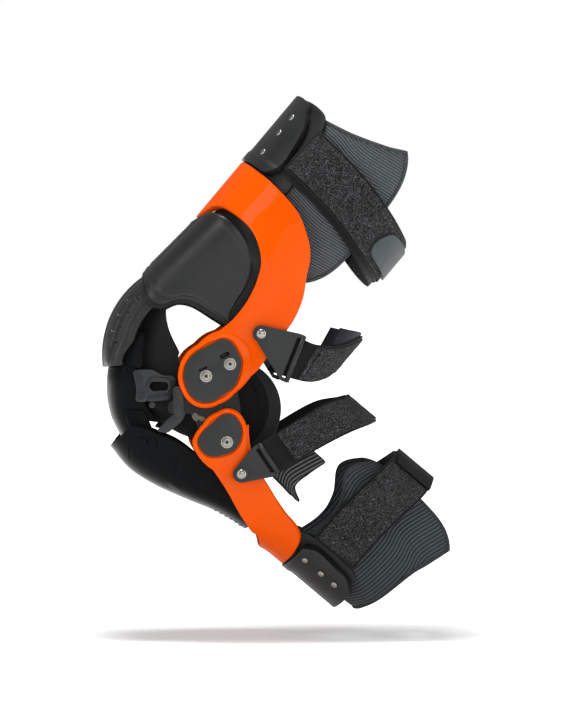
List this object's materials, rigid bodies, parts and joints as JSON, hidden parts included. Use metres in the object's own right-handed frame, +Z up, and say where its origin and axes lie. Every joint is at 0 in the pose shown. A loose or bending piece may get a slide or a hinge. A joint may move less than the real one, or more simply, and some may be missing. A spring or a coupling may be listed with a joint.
{
  "type": "knee brace",
  "caption": "Motocross knee brace: two C-shaped moulded frames on bi-axial side hinges, with sliding knee plates, a shin cup and leg straps.",
  "frame": {"origin": "centre of the knee, midway between the lateral and medial hinges", "axes": "-X to the front of the knee, +X to the back, +Y across the knee along the hinge axes to the medial side, +Z up"},
  "size_m": [0.2622, 0.1612, 0.3915],
  "materials": {
    "orange_shell": "glossy orange moulded frame",
    "dark_shell": "satin dark grey moulding",
    "glossy_black": "glossy black moulding",
    "cover_metal": "matte anthracite painted plate",
    "steel": "screws and rivets",
    "core_metal": "hinge core plates with pivot pins",
    "webbing": "black webbing with looped pile",
    "mesh_fabric": "charcoal spacer mesh over foam",
    "navy_fabric": "dark navy padded fabric",
    "foam": "black foam pad",
    "rubber_edge": "soft black rubber",
    "tab_rubber": "grey green rubber pull tab"
  },
  "bodies": {
    "thigh": {"thigh_frame": "orange_shell", "thigh_cuff_cap": "dark_shell", "thigh_cuff_rivets": "steel", "thigh_anchor_plate": "dark_shell", "thigh_liner": "mesh_fabric", "thigh_shield": "dark_shell", "thigh_shield_rim": "rubber_edge", "upper_hinge_cover_lateral": "cover_metal", "upper_hinge_cover_medial": "cover_metal", "upper_hinge_screws_lateral": "steel", "upper_hinge_screws_medial": "steel", "top_thigh_strap": "webbing", "top_strap_tab": "tab_rubber", "thigh_clip_rivets": "steel"},
    "link": {"hinge_core_lateral": "core_metal", "hinge_core_medial": "core_metal", "condyle_shell_lateral": "dark_shell", "condyle_shell_medial": "dark_shell", "condyle_pad_lateral": "foam", "condyle_pad_medial": "foam", "knee_shell": "glossy_black", "knee_side_plate_lateral": "dark_shell", "knee_side_plate_medial": "dark_shell", "knee_side_screws": "steel", "knee_foam_pad": "foam"},
    "rib": {"ribbed_plate": "dark_shell"},
    "shin": {"shin_frame": "orange_shell", "shin_cuff_cap": "dark_shell", "shin_cuff_rivets": "steel", "shin_anchor_plate": "dark_shell", "shin_liner": "mesh_fabric", "calf_mesh_pad": "mesh_fabric", "shin_strap": "webbing", "shin_strap_tab": "rubber_edge", "shin_cup_pin": "steel", "calf_clip_rivets": "steel", "lower_hinge_cover_lateral": "cover_metal", "lower_hinge_cover_medial": "cover_metal", "lower_hinge_screw_lateral": "steel", "lower_hinge_screw_medial": "steel"},
    "cup": {"shin_cup": "glossy_black"},
    "thigh_yoke": {"thigh_clips": "cover_metal", "lower_thigh_strap": "webbing", "lower_strap_pad": "navy_fabric"},
    "calf_yoke": {"calf_clips": "cover_metal", "calf_strap": "webbing", "calf_strap_pad": "navy_fabric"}
  },
  "joints": [
    {"name": "upper_hinge", "type": "hinge", "parent": "thigh", "child": "link", "pos_m": [-0.006, 0, 0.02475], "axis": [0, 1, 0], "range_deg": [-5, 40]},
    {"name": "lower_hinge", "type": "hinge", "parent": "link", "child": "shin", "pos_m": [0.0015, 0, -0.02327], "axis": [0, 1, 0], "range_deg": [-5, 40]},
    {"name": "ribbed_plate_slide", "type": "hinge", "parent": "thigh", "child": "rib", "pos_m": [-0.0143, 0, 0.03695], "axis": [0, 1, 0], "range_deg": [-2.5, 20]},
    {"name": "shin_cup_tilt", "type": "hinge", "parent": "shin", "child": "cup", "pos_m": [0.02763, 0, -0.0948], "axis": [0, 1, 0], "range_deg": [-22, 2.75]},
    {"name": "thigh_clip_tilt", "type": "hinge", "parent": "thigh", "child": "thigh_yoke", "pos_m": [0.03154, 0, 0.0533], "axis": [0, 1, 0], "range_deg": [-12, 0]},
    {"name": "calf_clip_tilt", "type": "hinge", "parent": "shin", "child": "calf_yoke", "pos_m": [0.01677, 0, -0.05174], "axis": [0, 1, 0], "range_deg": [0, 12]}
  ],
  "couplings": [
    {"joint": "lower_hinge", "follows": "upper_hinge", "ratio": 1},
    {"joint": "ribbed_plate_slide", "follows": "upper_hinge", "ratio": 0.5},
    {"joint": "shin_cup_tilt", "follows": "upper_hinge", "ratio": -0.55}
  ]
}
